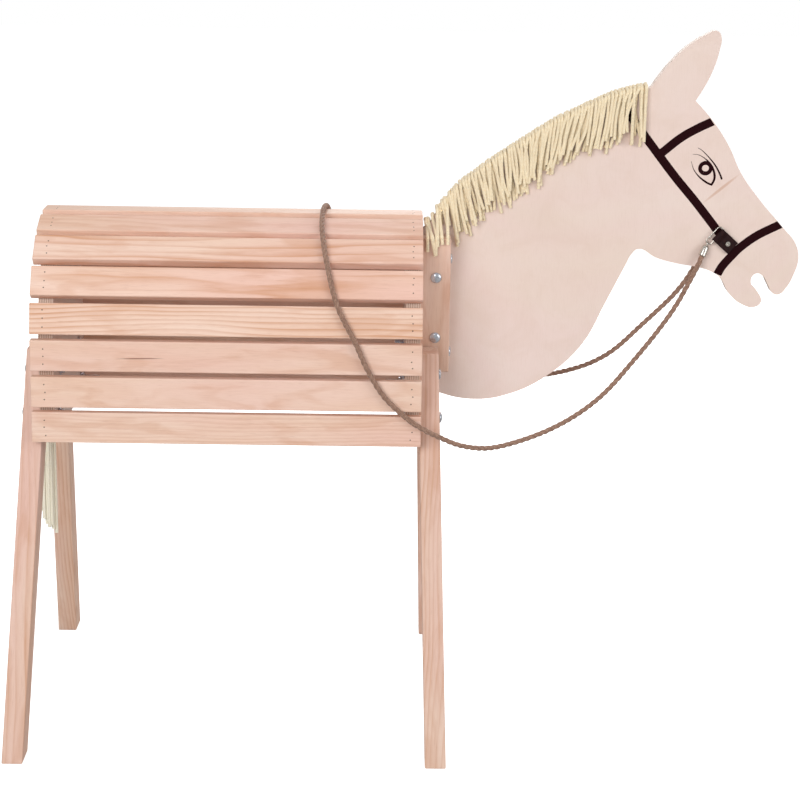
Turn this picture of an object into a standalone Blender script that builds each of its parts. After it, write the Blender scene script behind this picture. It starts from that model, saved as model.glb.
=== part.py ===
"""Slatted wooden riding horse with a plywood head, yarn mane and tail, and a rope rein on two snap hooks.

Metres, +Z up, standing on z = 0. The horse faces +X, and y = 0 is its plane of symmetry.
Its right side is at -Y. `side` is -1 for the right and +1 for the left.
"""

import math

import bmesh
import bpy
from mathutils import Matrix, Vector

GAP = 0.0003  # kept between pieces that touch

# Barrel: two plywood formers with planks nailed round them
BARREL_REAR = -0.543
SLAT_LENGTH = 0.560
SLAT_WIDTH = 0.045
SLAT_THICK = 0.015
BARREL_RADIUS = 0.170  # to the slats' outer faces
ARCH_Z = 0.588  # centre of the arched top
SIDE_SLAT_Z = (0.4657, 0.5176, 0.5712)
ARCH_SLAT_ANGLES = (12.4, 31.2, 50.0, 68.8)  # degrees above the horizontal
PLY_THICK = 0.021
FORMER_BOTTOM = 0.445
REAR_FORMER_X = BARREL_REAR + 0.0105
FRONT_FORMER_X = BARREL_REAR + 0.536
TAIL_HOLE_Z = 0.600
TAIL_HOLE_RADIUS = 0.009

# Legs: square to the ground at the foot, splayed sideways and leaning a little lengthwise
LEG_TOP = 0.567
LEG_THICK = 0.030
LEG_WIDTH = 0.0475  # of the horizontal section
LEG_FOOT_Y = 0.298  # outer edge of the foot
LEG_SPLAY = math.tan(math.radians(18.8))
LEG_LEVEL = 0.500  # height at which the leg's place along X is given
REAR_LEG_X = BARREL_REAR - 0.002
FRONT_LEG_X = BARREL_REAR + 0.572
REAR_LEAN = math.tan(math.radians(2.07))
FRONT_LEAN = -math.tan(math.radians(1.7))
LEG_BOLT_Z = {"upper": 0.534, "lower": 0.4735}

# Neck: the head board is clamped between two blocks in front of the front former
NECK_FACE = FRONT_FORMER_X + PLY_THICK + GAP
BLOCK_FRONT = NECK_FACE + 0.0444
BLOCK_INNER_Y = 0.0093
BLOCK_OUTER_Y = 0.054
BLOCK_Z = (0.528, 0.728)
CROSS_BOLT_X = 0.0375
CROSS_BOLT_Z = {"upper": 0.670, "lower": 0.580}
BLOCK_BOLT_Y = 0.0315
BLOCK_BOLT_Z = {"upper": 0.695, "lower": 0.555}
BOARD_THICK = 0.018

# M6 fasteners
BOLT_RADIUS = 0.003
BOLT_HOLE = 0.0035
BOLT_HEAD_RADIUS = 0.008
BOLT_HEAD_HEIGHT = 0.0035
WASHER_RADIUS = 0.009
WASHER_THICK = 0.0016
NUT_RADIUS = 0.00577  # across the corners, 10 mm across the flats
NUT_HEIGHT = 0.005

# Rein fittings on each side of the head
RIVET_AT = Vector((0.4710, 0, 0.7194))
FOLD_AT = Vector((0.4542, 0, 0.7345))
STRAP_BACK = Vector((-0.745, 0, 0.667))  # from the rivet to the fold
STRAP_ACROSS = Vector((0.667, 0, 0.745))
STRAP_WIDTH = 0.022
STRAP_THICK = 0.002
STRAP_LAY_Y = 0.0093
TUNNEL_RADIUS = 0.0046
STRAP_REACH = 0.033
RIVET_HOLE = 0.0019
HOOK_WIRE = 0.0012
HOOK_Y = STRAP_LAY_Y + TUNNEL_RADIUS
HOOK_BEND = 0.0045
HOOK_HALF = 0.0113  # from its middle to the centre of each bend
HOOK_MIDDLE = -0.0043
HOOK_AXIS = 0.0009
FERRULE_RADIUS = 0.0060
FERRULE_LENGTH = 0.0175
FERRULE_DROP = 0.0031  # from the hook's bend to the ferrule's shoulder
ROPE_RADIUS = 0.0040

PINE = ("slat_pine", (0.83, 0.62, 0.49), 0.55, 0)
LEG_PINE = ("leg_pine", (0.80, 0.56, 0.45), 0.55, 0)
PLYWOOD = ("birch_plywood", (0.81, 0.69, 0.61), 0.5, 0)
ZINC = ("zinc_plate", (0.72, 0.74, 0.78), 0.3, 1)
YARN = ("mane_yarn", (0.78, 0.72, 0.53), 0.9, 0)
WEBBING = ("strap_webbing", (0.05, 0.02, 0.025), 0.7, 0)
NICKEL = ("nickel_plate", (0.66, 0.64, 0.60), 0.25, 1)
ROPE = ("rein_cord", (0.28, 0.17, 0.11), 0.9, 0)

SIDES = {"right": -1, "left": 1}
FRONT_VIEW = Matrix(((0, 0, 1, 0), (1, 0, 0, 0), (0, 1, 0, 0), (0, 0, 0, 1)))  # drawn in YZ
SIDE_VIEW = Matrix.Rotation(math.radians(90), 4, "X")  # drawn in XZ


def clear_scene():
    for obj in list(bpy.data.objects):
        bpy.data.objects.remove(obj, do_unlink=True)


def new_collection(name):
    collection = bpy.data.collections.new(name)
    bpy.context.scene.collection.children.link(collection)
    return collection


def finish_material(finish):
    name, colour, roughness, metallic = finish
    if name in bpy.data.materials:
        return bpy.data.materials[name]
    material = bpy.data.materials.new(name)
    material.use_nodes = True
    shader = material.node_tree.nodes["Principled BSDF"]
    shader.inputs["Base Color"].default_value = (*colour, 1)
    shader.inputs["Roughness"].default_value = roughness
    shader.inputs["Metallic"].default_value = metallic
    return material


def place(name, mesh, finish, matrix=None, smooth=False):
    """A part made from this mesh."""
    obj = bpy.data.objects.new(name, mesh)
    parts.objects.link(obj)
    obj.matrix_world = matrix or Matrix()
    if not mesh.materials:
        mesh.materials.append(finish_material(finish))
    if smooth:
        mesh.shade_smooth()
        mesh.set_sharp_from_angle(angle=math.radians(35))
    return obj


def place_tool(name, mesh, matrix=None):
    """A cutter, or a shape that is joined to a part."""
    obj = bpy.data.objects.new(name, mesh)
    cutters.objects.link(obj)
    obj.matrix_world = matrix or Matrix()
    obj.hide_render = True
    obj.display_type = "WIRE"
    return obj


def boolean(obj, tool, operation="DIFFERENCE"):
    modifier = obj.modifiers.new(tool.name, "BOOLEAN")
    modifier.operation = operation
    modifier.object = tool
    modifier.solver = "EXACT"


def bevel(obj, width, segments=2):
    modifier = obj.modifiers.new("edges", "BEVEL")
    modifier.width = width
    modifier.segments = segments
    modifier.limit_method = "ANGLE"


def evaluated_mesh(obj):
    """The object's shape after its modifiers or its bevel, as a welded mesh. The object is removed."""
    bpy.context.view_layer.update()
    graph = bpy.context.evaluated_depsgraph_get()
    mesh = bpy.data.meshes.new_from_object(obj.evaluated_get(graph))
    bpy.data.objects.remove(obj, do_unlink=True)
    shape = bmesh.new()
    shape.from_mesh(mesh)
    bmesh.ops.remove_doubles(shape, verts=shape.verts, dist=1e-6)
    shape.to_mesh(mesh)
    shape.free()
    mesh.materials.clear()
    return mesh


def box_mesh(name, low, high):
    shape = bmesh.new()
    bmesh.ops.create_cube(shape, size=1)
    size = Vector(high) - Vector(low)
    bmesh.ops.scale(shape, vec=size, verts=shape.verts)
    bmesh.ops.translate(shape, vec=Vector(low) + size / 2, verts=shape.verts)
    mesh = bpy.data.meshes.new(name)
    shape.to_mesh(mesh)
    shape.free()
    return mesh


def rod_mesh(name, radius, length, sides=12):
    """A cylinder that stands on its origin, along +Z."""
    shape = bmesh.new()
    bmesh.ops.create_cone(
        shape, cap_ends=True, segments=sides, radius1=radius, radius2=radius, depth=length
    )
    bmesh.ops.translate(shape, vec=(0, 0, length / 2), verts=shape.verts)
    mesh = bpy.data.meshes.new(name)
    shape.to_mesh(mesh)
    shape.free()
    return mesh


def profile_mesh(name, profile):
    """The edge that a Screw modifier turns about Z, as (radius, height) from top to bottom."""
    mesh = bpy.data.meshes.new(name)
    edges = [(i, i + 1) for i in range(len(profile) - 1)]
    mesh.from_pydata([(radius, 0, height) for radius, height in profile], edges, [])
    return mesh


def turn(obj, steps=12):
    modifier = obj.modifiers.new("turn", "SCREW")
    modifier.steps = steps
    modifier.render_steps = steps
    modifier.use_merge_vertices = True
    modifier.merge_threshold = 1e-5


def arc(centre, radius, start, end, steps):
    """Points on a circle from one angle to another, in degrees."""
    angles = [math.radians(start + (end - start) * i / steps) for i in range(steps + 1)]
    return [(centre[0] + radius * math.cos(a), centre[1] + radius * math.sin(a)) for a in angles]


def plate_mesh(name, outlines, thickness, smooth_points=None, resolution=5):
    """A flat board from closed outlines of corners, or from one outline of smooth points and corners."""
    curve = bpy.data.curves.new(name, "CURVE")
    curve.dimensions = "2D"
    curve.fill_mode = "BOTH"
    curve.extrude = thickness / 2
    curve.resolution_u = resolution
    for outline in outlines:
        spline = curve.splines.new("POLY")
        spline.points.add(len(outline) - 1)
        for point, (u, v) in zip(spline.points, outline):
            point.co = (u, v, 0, 1)
        spline.use_cyclic_u = True
    if smooth_points:
        spline = curve.splines.new("BEZIER")
        spline.bezier_points.add(len(smooth_points) - 1)
        spline.use_cyclic_u = True
        for point, (u, v, corner) in zip(spline.bezier_points, smooth_points):
            point.handle_left_type = "VECTOR" if corner else "AUTO"
            point.handle_right_type = "VECTOR" if corner else "AUTO"
            point.co = (u, v, 0)
    return evaluated_mesh(place_tool(name, curve))


def tube_curve(name, points, radius, thickness=None, bevel_resolution=2):
    """A tube with filled caps along these points. `thickness` scales its radius at each point."""
    curve = bpy.data.curves.new(name, "CURVE")
    curve.dimensions = "3D"
    curve.bevel_depth = radius
    curve.bevel_resolution = bevel_resolution
    curve.use_fill_caps = True
    spline = curve.splines.new("POLY")
    spline.points.add(len(points) - 1)
    for i, (x, y, z) in enumerate(points):
        spline.points[i].co = (x, y, z, 1)
        spline.points[i].radius = thickness[i] if thickness else 1
    return curve


def aimed(point, direction):
    """A frame at this point whose +Z is this direction."""
    return Matrix.Translation(point) @ Vector(direction).to_track_quat("Z", "Y").to_matrix().to_4x4()


def framed(point, x_axis, y_axis):
    """A frame at this point with these two axes."""
    x_axis = Vector(x_axis).normalized()
    y_axis = Vector(y_axis).normalized()
    axes = Matrix((x_axis, y_axis, x_axis.cross(y_axis))).transposed()
    return Matrix.Translation(point) @ axes.to_4x4()


def drill(targets, start, end, radius=BOLT_HOLE):
    """A hole through each target, from one point to another."""
    start = Vector(start)
    along = Vector(end) - start
    mesh = rod_mesh("hole", radius, along.length)
    cutter = place_tool("hole", mesh, aimed(start, along))
    for target in targets:
        boolean(target, cutter)


# Barrel


def slat_frame(side, angle):
    """The frame at the middle of an arch slat: X runs along it and Z points out of the barrel."""
    angle = math.radians(angle)
    outward = Vector((0, side * math.cos(angle), math.sin(angle)))
    centre = Vector((BARREL_REAR + SLAT_LENGTH / 2, 0, ARCH_Z)) + outward * (BARREL_RADIUS - SLAT_THICK / 2)
    return framed(centre, (1, 0, 0), outward.cross((1, 0, 0)))


def make_slats():
    half = Vector((SLAT_LENGTH, SLAT_WIDTH, SLAT_THICK)) / 2
    mesh = box_mesh("slat", -half, half)
    frames = {"slat_ridge": slat_frame(1, 90)}
    for word, side in SIDES.items():
        for number, height in enumerate(SIDE_SLAT_Z, 1):
            drop = Matrix.Translation((0, 0, height - ARCH_Z))
            frames[f"slat_{word}_{number}"] = drop @ slat_frame(side, 0)
        for number, angle in enumerate(ARCH_SLAT_ANGLES, len(SIDE_SLAT_Z) + 1):
            frames[f"slat_{word}_{number}"] = slat_frame(side, angle)
    for name, frame in frames.items():
        bevel(place(name, mesh, PINE, frame), 0.0015)


def make_former(name, x):
    """A plywood end frame: straight sides under a half circle, just inside the slats."""
    radius = BARREL_RADIUS - SLAT_THICK - GAP
    outline = [(radius, FORMER_BOTTOM), *arc((0, ARCH_Z), radius, 0, 180, 28), (-radius, FORMER_BOTTOM)]
    mesh = plate_mesh(name, [outline], PLY_THICK)
    return place(name, mesh, PLYWOOD, Matrix.Translation((x + PLY_THICK / 2, 0, 0)) @ FRONT_VIEW)


# Legs


def make_leg(name, side, x, lean, seat_cutter):
    """A splayed, leaning post with level ends, planed flat where it bears on the former."""
    foot_x = x - lean * LEG_LEVEL
    foot_y = side * (LEG_FOOT_Y - LEG_WIDTH / 2)
    half = Vector((LEG_THICK / 2, LEG_WIDTH / 2, 0))
    mesh = box_mesh(name, -half, half + Vector((0, 0, LEG_TOP)))
    mesh.transform(Matrix(((1, 0, lean, 0), (0, 1, -side * LEG_SPLAY, 0), (0, 0, 1, 0), (0, 0, 0, 1))))
    leg = place(name, mesh, LEG_PINE, Matrix.Translation((foot_x, foot_y, 0)))
    bevel(leg, 0.0015)
    boolean(leg, seat_cutter)
    return leg


def make_leg_set(end, former, former_face, inner_face, x, lean):
    """Both legs at one end of the barrel, with their bolts and nuts. `out` points away from the barrel."""
    out = math.copysign(1, former_face - inner_face)
    seat = former_face + out * GAP
    deep = seat - out * 0.04
    low = (min(seat, deep), -0.2, 0.40)
    high = (max(seat, deep), 0.2, 0.60)
    seat_cutter = place_tool(f"seat_{end}", box_mesh("seat", low, high))
    for word, side in SIDES.items():
        leg = make_leg(f"leg_{end}_{word}", side, x, lean, seat_cutter)
        for level, z in LEG_BOLT_Z.items():
            y = side * (LEG_FOOT_Y - LEG_WIDTH / 2 - LEG_SPLAY * z)
            head_x = x + lean * (z - LEG_LEVEL) + out * (LEG_THICK / 2 + 2 * GAP)
            inward = (-out, 0, 0)
            drill([leg, former], (head_x + out * 0.01, y, z), (inner_face - out * 0.01, y, z))
            tail = f"{end}_{word}_{level}"
            make_bolt(f"leg_bolt_{tail}", (head_x, y, z), inward, 0.080)
            make_nut(f"leg_nut_{tail}", (inner_face - out * GAP, y, z), inward)


# Fasteners


def bolt_profile(length):
    dome = [
        (BOLT_HEAD_RADIUS * math.sin(a), BOLT_HEAD_HEIGHT * math.cos(a))
        for a in (math.radians(90 * i / 4) for i in range(5))
    ]
    return [*dome, (BOLT_RADIUS, 0), (BOLT_RADIUS, -length), (0, -length)]


def make_bolt(name, head, direction, length):
    """A domed carriage bolt whose head sits at `head`, its shank running in `direction`."""
    backwards = -Vector(direction)
    bolt = place(name, profile_mesh(name, bolt_profile(length)), ZINC, aimed(head, backwards), smooth=True)
    turn(bolt)
    return bolt


def make_nut_blank():
    """A washer with a hexagon nut on it, standing on the washer's face."""
    washer = place_tool("washer", rod_mesh("washer", WASHER_RADIUS, WASHER_THICK, 16))
    nut = place_tool("nut", rod_mesh("nut", NUT_RADIUS, WASHER_THICK + NUT_HEIGHT, 6))
    boolean(washer, nut, "UNION")
    return evaluated_mesh(washer)


def make_nut_mesh():
    blank = place_tool("blank", nut_blank)
    bore = place_tool("bore", rod_mesh("bore", BOLT_HOLE, 0.02), Matrix.Translation((0, 0, -0.005)))
    boolean(blank, bore)
    return evaluated_mesh(blank)


def make_nut(name, seat, direction):
    place(name, nut_mesh, ZINC, aimed(seat, direction))


def make_bolt_with_nut(name, head, direction, length, grip):
    """A carriage bolt with its washer and nut tightened on it, `grip` from under its head."""
    direction = Vector(direction)
    bolt = make_bolt(name, head, direction, length)
    seat = Vector(head) + direction * grip
    boolean(bolt, place_tool(f"{name}_nut", nut_blank, aimed(seat, direction)), "UNION")


# Neck and head


def head_outline(crest_growth=0.0):
    """The head board's edge as (x, z, corner), from the foot of the neck round the muzzle to the ear and crest."""
    underside = [
        (NECK_FACE, 0.5000, True),
        (0.0450, 0.4860, False),
        (0.0990, 0.4760, False),
        (0.1497, 0.4839, False),
        (0.2068, 0.5124, False),
        (0.2593, 0.5618, False),
        (0.2941, 0.6298, False),
        (0.3212, 0.6863, False),
        (0.3291, 0.7016, False),
        (0.3384, 0.7093, False),
        (0.3655, 0.6966, False),
        (0.3967, 0.6884, False),
        (0.4321, 0.6824, False),
    ]
    jaw_and_mouth = [
        (0.4537, 0.6744, False),
        (0.4631, 0.6670, False),
        (0.4779, 0.6429, False),
        (0.4985, 0.6270, False),
        (0.5150, 0.6234, False),
        (0.5242, 0.6282, False),
        (0.5263, 0.6347, False),
        (0.5187, 0.6491, False),
        (0.5090, 0.6619, False),
        (0.5153, 0.6744, False),
        (0.5259, 0.6718, False),
        (0.5349, 0.6576, False),
        (0.5426, 0.6453, False),
        (0.5518, 0.6434, False),
    ]
    nose_and_brow = [
        (0.5628, 0.6541, False),
        (0.5726, 0.6747, False),
        (0.5780, 0.6972, False),
        (0.5730, 0.7198, False),
        (0.5530, 0.7438, False),
        (0.5156, 0.7852, False),
        (0.4849, 0.8259, False),
        (0.4667, 0.8625, False),
        (0.4453, 0.8946, False),
        (0.4255, 0.9175, False),
    ]
    ear = [
        (0.4134, 0.9298, True),
        (0.4257, 0.9506, False),
        (0.4373, 0.9764, False),
        (0.4445, 1.0024, False),
        (0.4461, 1.0239, False),
        (0.4399, 1.0313, False),
        (0.4256, 1.0263, False),
        (0.4015, 1.0114, False),
        (0.3766, 0.9881, False),
        (0.3558, 0.9617, False),
        (0.3455, 0.9480, False),
    ]
    crest = [
        (0.3300, 0.9445, False),
        (0.2955, 0.9350, False),
        (0.2130, 0.8960, False),
        (0.1716, 0.8690, False),
        (0.1250, 0.8380, False),
        (0.0745, 0.8000, False),
        (0.0380, 0.7590, False),
        (0.0270, 0.7420, True),
        (NECK_FACE, 0.7320, True),
    ]
    out = Vector((-0.55, 0.83)) * crest_growth
    crest = [(x + out.x, z + out.y, corner) for x, z, corner in crest]
    return underside + jaw_and_mouth + nose_and_brow + ear + crest


def make_neck_and_head(front_former):
    head = place(
        "head_board",
        plate_mesh("head_board", [], BOARD_THICK, head_outline()),
        PLYWOOD,
        SIDE_VIEW,
    )
    blocks = {}
    for word, side in SIDES.items():
        low_y, high_y = sorted((side * BLOCK_INNER_Y, side * BLOCK_OUTER_Y))
        low = (NECK_FACE, low_y, BLOCK_Z[0])
        high = (BLOCK_FRONT, high_y, BLOCK_Z[1])
        blocks[word] = place(f"neck_block_{word}", box_mesh("neck_block", low, high), LEG_PINE)
        bevel(blocks[word], 0.001, 1)
        for level, z in BLOCK_BOLT_Z.items():
            y = side * BLOCK_BOLT_Y
            head_at = (BLOCK_FRONT + GAP, y, z)
            drill([blocks[word], front_former], (BLOCK_FRONT + 0.01, y, z), (FRONT_FORMER_X - 0.01, y, z))
            grip = BLOCK_FRONT - FRONT_FORMER_X + 2 * GAP
            make_bolt_with_nut(f"neck_block_bolt_{word}_{level}", head_at, (-1, 0, 0), 0.080, grip)
    for level, z in CROSS_BOLT_Z.items():
        ends = ((CROSS_BOLT_X, -0.07, z), (CROSS_BOLT_X, 0.07, z))
        drill([blocks["right"], head, blocks["left"]], *ends)
        head_at = (CROSS_BOLT_X, -BLOCK_OUTER_Y - GAP, z)
        grip = 2 * (BLOCK_OUTER_Y + GAP)
        make_bolt_with_nut(f"neck_cross_bolt_{level}", head_at, (0, 1, 0), 0.120, grip)
    drill([head], RIVET_AT - Vector((0, 0.02, 0)), RIVET_AT + Vector((0, 0.02, 0)), RIVET_HOLE)


def make_mane():
    """The room that the mane's yarn fills: over the crest and a little way down both faces of the board."""
    outline = [
        (0.0235, 0.7400, True),
        (0.0280, 0.7540, False),
        (0.0745, 0.8070, False),
        (0.1250, 0.8440, False),
        (0.1716, 0.8750, False),
        (0.2130, 0.9030, False),
        (0.2470, 0.9200, False),
        (0.2955, 0.9430, False),
        (0.3390, 0.9545, True),
        (0.3400, 0.8690, True),
        (0.2656, 0.8400, False),
        (0.1910, 0.8220, False),
        (0.1470, 0.7650, False),
        (0.0880, 0.7420, False),
        (0.0600, 0.7310, True),
        (0.0300, 0.7310, True),
    ]
    mane = place("mane", plate_mesh("mane", [], 0.036, outline), YARN, SIDE_VIEW)
    room = plate_mesh("mane_room", [], BOARD_THICK + 2 * GAP, head_outline(crest_growth=0.0008))
    boolean(mane, place_tool("mane_room", room, SIDE_VIEW))


def make_tail():
    """A hank of yarn knotted inside the rear former, hanging out through its hole."""
    stations = [  # behind the slats' rear end, height, radius
        (0.0480, 0.600, 0.006),
        (0.0450, 0.600, 0.012),
        (0.0360, 0.600, 0.012),
        (0.0335, 0.600, 0.007),
        (0.0080, 0.600, 0.007),
        (-0.0010, 0.596, 0.008),
        (-0.0080, 0.582, 0.011),
        (-0.0110, 0.560, 0.016),
        (-0.0115, 0.530, 0.018),
        (-0.0110, 0.480, 0.018),
        (-0.0100, 0.420, 0.018),
        (-0.0080, 0.350, 0.017),
        (-0.0050, 0.290, 0.015),
        (-0.0030, 0.255, 0.011),
        (-0.0030, 0.243, 0.004),
    ]
    points = [(BARREL_REAR + x, 0, z) for x, z, _ in stations]
    curve = tube_curve("tail", points, 1, [radius for *_, radius in stations])
    place("tail", evaluated_mesh(place_tool("tail", curve)), YARN, smooth=True)


# Rein fittings


def head_side_frame(side):
    """The frame at the fold of the strap: X from the rivet to the fold, Y out of the head's face."""
    return framed(FOLD_AT, STRAP_BACK, (0, side, 0))


def hook_point(side, q, s):
    """A point in the hook's plane, q past the fold and s up from the hook's middle."""
    return FOLD_AT + q * STRAP_BACK + (HOOK_MIDDLE + s) * STRAP_ACROSS + Vector((0, side * HOOK_Y, 0))


def make_strap_loop(word, side):
    """A strip of webbing folded round the hook and lying double on the board."""
    centre = (-TUNNEL_RADIUS, HOOK_Y)
    outer = STRAP_LAY_Y + 2 * STRAP_THICK
    outline = [
        (-STRAP_REACH, STRAP_LAY_Y),
        *arc(centre, TUNNEL_RADIUS, -90, 140, 10),
        (-0.0125, outer),
        (-STRAP_REACH, outer),
    ]
    tunnel = arc(centre, TUNNEL_RADIUS - STRAP_THICK, 0, 330, 11)
    name = f"strap_loop_{word}"
    strap = place(name, plate_mesh(name, [outline, tunnel], STRAP_WIDTH), WEBBING, head_side_frame(side))
    drill([strap], RIVET_AT, RIVET_AT + Vector((0, side * 0.03, 0)), RIVET_HOLE)
    room = evaluated_mesh(place_tool("hook_room", tube_curve("room", hook_path(side), HOOK_WIRE + GAP)))
    boolean(strap, place_tool("hook_room", room))


def make_strap_rivet(word, side):
    """A tubular rivet through the strap into the board."""
    top = 0.0016
    shank = 0.0016
    reach = STRAP_LAY_Y + 2 * STRAP_THICK + GAP
    profile = [
        (0, 0.0005),
        (0.0013, 0.0005),
        (0.0018, top),
        (0.0030, top),
        (0.0040, 0.0006),
        (0.0040, 0),
        (shank, 0),
        (shank, -reach + 0.001),
        (0, -reach + 0.001),
    ]
    seat = RIVET_AT + Vector((0, side * reach, 0))
    name = f"strap_rivet_{word}"
    turn(place(name, profile_mesh(name, profile), NICKEL, aimed(seat, (0, side, 0)), smooth=True))


def hook_path(side):
    """The hook's wire, from its hinge end round the lower bend, up its back and round to its nose."""
    lower = arc((HOOK_AXIS, -HOOK_HALF), HOOK_BEND, 0, -180, 8)
    upper = arc((HOOK_AXIS, HOOK_HALF), HOOK_BEND, 180, 0, 8)
    gate_line = HOOK_AXIS + HOOK_BEND
    path = [(gate_line, -0.0105), *lower, *upper, (gate_line, 0.0095)]
    return [hook_point(side, q, s) for q, s in path]


def make_snap_hook(word, side):
    curve = tube_curve("hook", hook_path(side), HOOK_WIRE)
    place(f"snap_hook_{word}", evaluated_mesh(place_tool("hook", curve)), NICKEL, smooth=True)


def make_snap_gate(word, side):
    """The sprung gate: a rod with a ball at its hinge, whose pin runs along Y through the object's origin."""
    ball = 0.0015
    hinge_s = -0.0086
    tip = 0.0091 - hinge_s
    knuckle = [(ball * math.cos(a), -ball * math.sin(a)) for a in map(math.radians, (-40, 0, 35, 65))]
    rod = 0.0011
    profile = [(0, tip), (rod, tip), (rod, 0.0014), *knuckle, (0, -ball)]
    frame = aimed(hook_point(side, HOOK_AXIS + HOOK_BEND, hinge_s), STRAP_ACROSS)
    name = f"snap_gate_{word}"
    turn(place(name, profile_mesh(name, profile), NICKEL, frame, smooth=True))


def ferrule_axis(side):
    return Vector((0.08 * side - 0.30, side * 0.24, -0.91)).normalized()


def hook_bottom(side):
    return hook_point(side, HOOK_AXIS, -HOOK_HALF - HOOK_BEND)


def make_ferrule(word, side):
    """The crimped end fitting of the rein: a cup over the rope with an eye round the hook's lower bend."""
    down = ferrule_axis(side)
    profile = [
        (0, 0),
        (0.0026, 0),
        (0.0050, -0.0022),
        (FERRULE_RADIUS, -0.0042),
        (FERRULE_RADIUS, -FERRULE_LENGTH + 0.0006),
        (FERRULE_RADIUS - 0.0006, -FERRULE_LENGTH),
        (0, -FERRULE_LENGTH),
    ]
    name = f"rein_ferrule_{word}"
    shoulder = hook_bottom(side) + down * FERRULE_DROP
    ferrule = place(name, profile_mesh(name, profile), NICKEL, aimed(shoulder, -down), smooth=True)
    turn(ferrule, 16)
    eye_axis = down.cross((0, 1, 0))
    frame = aimed(hook_bottom(side) + down * 0.0005, eye_axis)
    bpy.ops.mesh.primitive_torus_add(
        major_segments=16, minor_segments=6, major_radius=0.0031, minor_radius=0.0008
    )
    ring = bpy.context.object
    mesh = ring.data
    bpy.data.objects.remove(ring, do_unlink=True)
    boolean(ferrule, place_tool(f"eye_{word}", mesh, frame), "UNION")


def smooth_path(route, step):
    """Points about `step` apart on a smooth curve through the route's points."""
    route = [Vector(point) for point in route]
    ends = [2 * route[0] - route[1], *route, 2 * route[-1] - route[-2]]
    path = []
    for before, start, end, after in zip(ends, ends[1:], ends[2:], ends[3:]):
        count = max(1, round((end - start).length / step))
        for i in range(count):
            t = i / count
            path.append(
                0.5
                * (
                    2 * start
                    + (end - before) * t
                    + (2 * before - 5 * start + 4 * end - after) * t**2
                    + (3 * start - before - 3 * end + after) * t**3
                )
            )
    return [*path, route[-1]]


def make_rein():
    """One rope from hook to hook: down each side of the neck in a slack bight and up over the barrel."""
    starts = {}
    for side in (-1, 1):
        mouth = hook_bottom(side) + ferrule_axis(side) * (FERRULE_DROP + FERRULE_LENGTH + GAP)
        starts[side] = [mouth, mouth + ferrule_axis(side) * 0.012]
    right = [
        (0.4159, -0.0250, 0.6662),
        (0.3946, -0.0325, 0.6276),
        (0.3670, -0.0420, 0.5895),
        (0.3316, -0.0550, 0.5474),
        (0.2921, -0.0700, 0.5049),
        (0.2530, -0.0851, 0.4761),
        (0.2085, -0.1026, 0.4547),
        (0.1590, -0.1220, 0.4403),
        (0.1151, -0.1390, 0.4347),
        (0.0740, -0.1550, 0.4428),
        (0.0367, -0.1700, 0.4617),
        (0.0205, -0.1755, 0.4712),
        (-0.0020, -0.1764, 0.4860),
        (-0.0360, -0.1764, 0.5180),
        (-0.0600, -0.1764, 0.5560),
        (-0.0785, -0.1762, 0.5965),
        (-0.1050, -0.1657, 0.6484),
        (-0.1205, -0.1351, 0.7013),
        (-0.1290, -0.0882, 0.7407),
        (-0.1300, -0.0306, 0.7617),
    ]
    left = [
        (0.4262, 0.0245, 0.6735),
        (0.4126, 0.0275, 0.6503),
        (0.3927, 0.0335, 0.6239),
        (0.3557, 0.0470, 0.5823),
        (0.3201, 0.0600, 0.5432),
        (0.2903, 0.0712, 0.5200),
        (0.2561, 0.0840, 0.5030),
        (0.2150, 0.1000, 0.4893),
        (0.1590, 0.1220, 0.4765),
        (0.1100, 0.1410, 0.4735),
        (0.0640, 0.1590, 0.4820),
        (0.0200, 0.1755, 0.5010),
        (-0.0180, 0.1764, 0.5290),
        (-0.0470, 0.1764, 0.5640),
        (-0.0700, 0.1762, 0.6000),
        (-0.0960, 0.1657, 0.6484),
        (-0.1120, 0.1351, 0.7013),
        (-0.1220, 0.0882, 0.7407),
        (-0.1265, 0.0306, 0.7617),
    ]
    route = [*starts[-1], *right, *reversed(left), *reversed(starts[1])]
    curve = tube_curve("rein_rope", smooth_path(route, 0.027), ROPE_RADIUS)
    place("rein_rope", evaluated_mesh(place_tool("rein_rope", curve)), ROPE, smooth=True)


clear_scene()
parts = new_collection("riding_horse")
cutters = new_collection("cutters")
nut_blank = make_nut_blank()
nut_mesh = make_nut_mesh()
make_slats()
rear_former = make_former("former_rear", REAR_FORMER_X)
front_former = make_former("former_front", FRONT_FORMER_X)
drill(
    [rear_former],
    (REAR_FORMER_X - 0.01, 0, TAIL_HOLE_Z),
    (REAR_FORMER_X + 0.04, 0, TAIL_HOLE_Z),
    TAIL_HOLE_RADIUS,
)
make_leg_set("rear", rear_former, REAR_FORMER_X, REAR_FORMER_X + PLY_THICK, REAR_LEG_X, REAR_LEAN)
make_leg_set("front", front_former, FRONT_FORMER_X + PLY_THICK, FRONT_FORMER_X, FRONT_LEG_X, FRONT_LEAN)
make_neck_and_head(front_former)
make_mane()
make_tail()
for side_word, side_sign in SIDES.items():
    make_strap_loop(side_word, side_sign)
    make_strap_rivet(side_word, side_sign)
    make_snap_hook(side_word, side_sign)
    make_snap_gate(side_word, side_sign)
    make_ferrule(side_word, side_sign)
make_rein()
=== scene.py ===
"""Looks of the slatted riding horse: wood, plywood, print, yarn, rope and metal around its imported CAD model.

Metres, +Z up, in the CAD frame: the horse faces +X and its right side, which the camera sees, is at -Y.
`side` is -1 for the right and +1 for the left.
"""

import math
import random

import bpy
import numpy as np
from mathutils import Matrix, Vector


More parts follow.
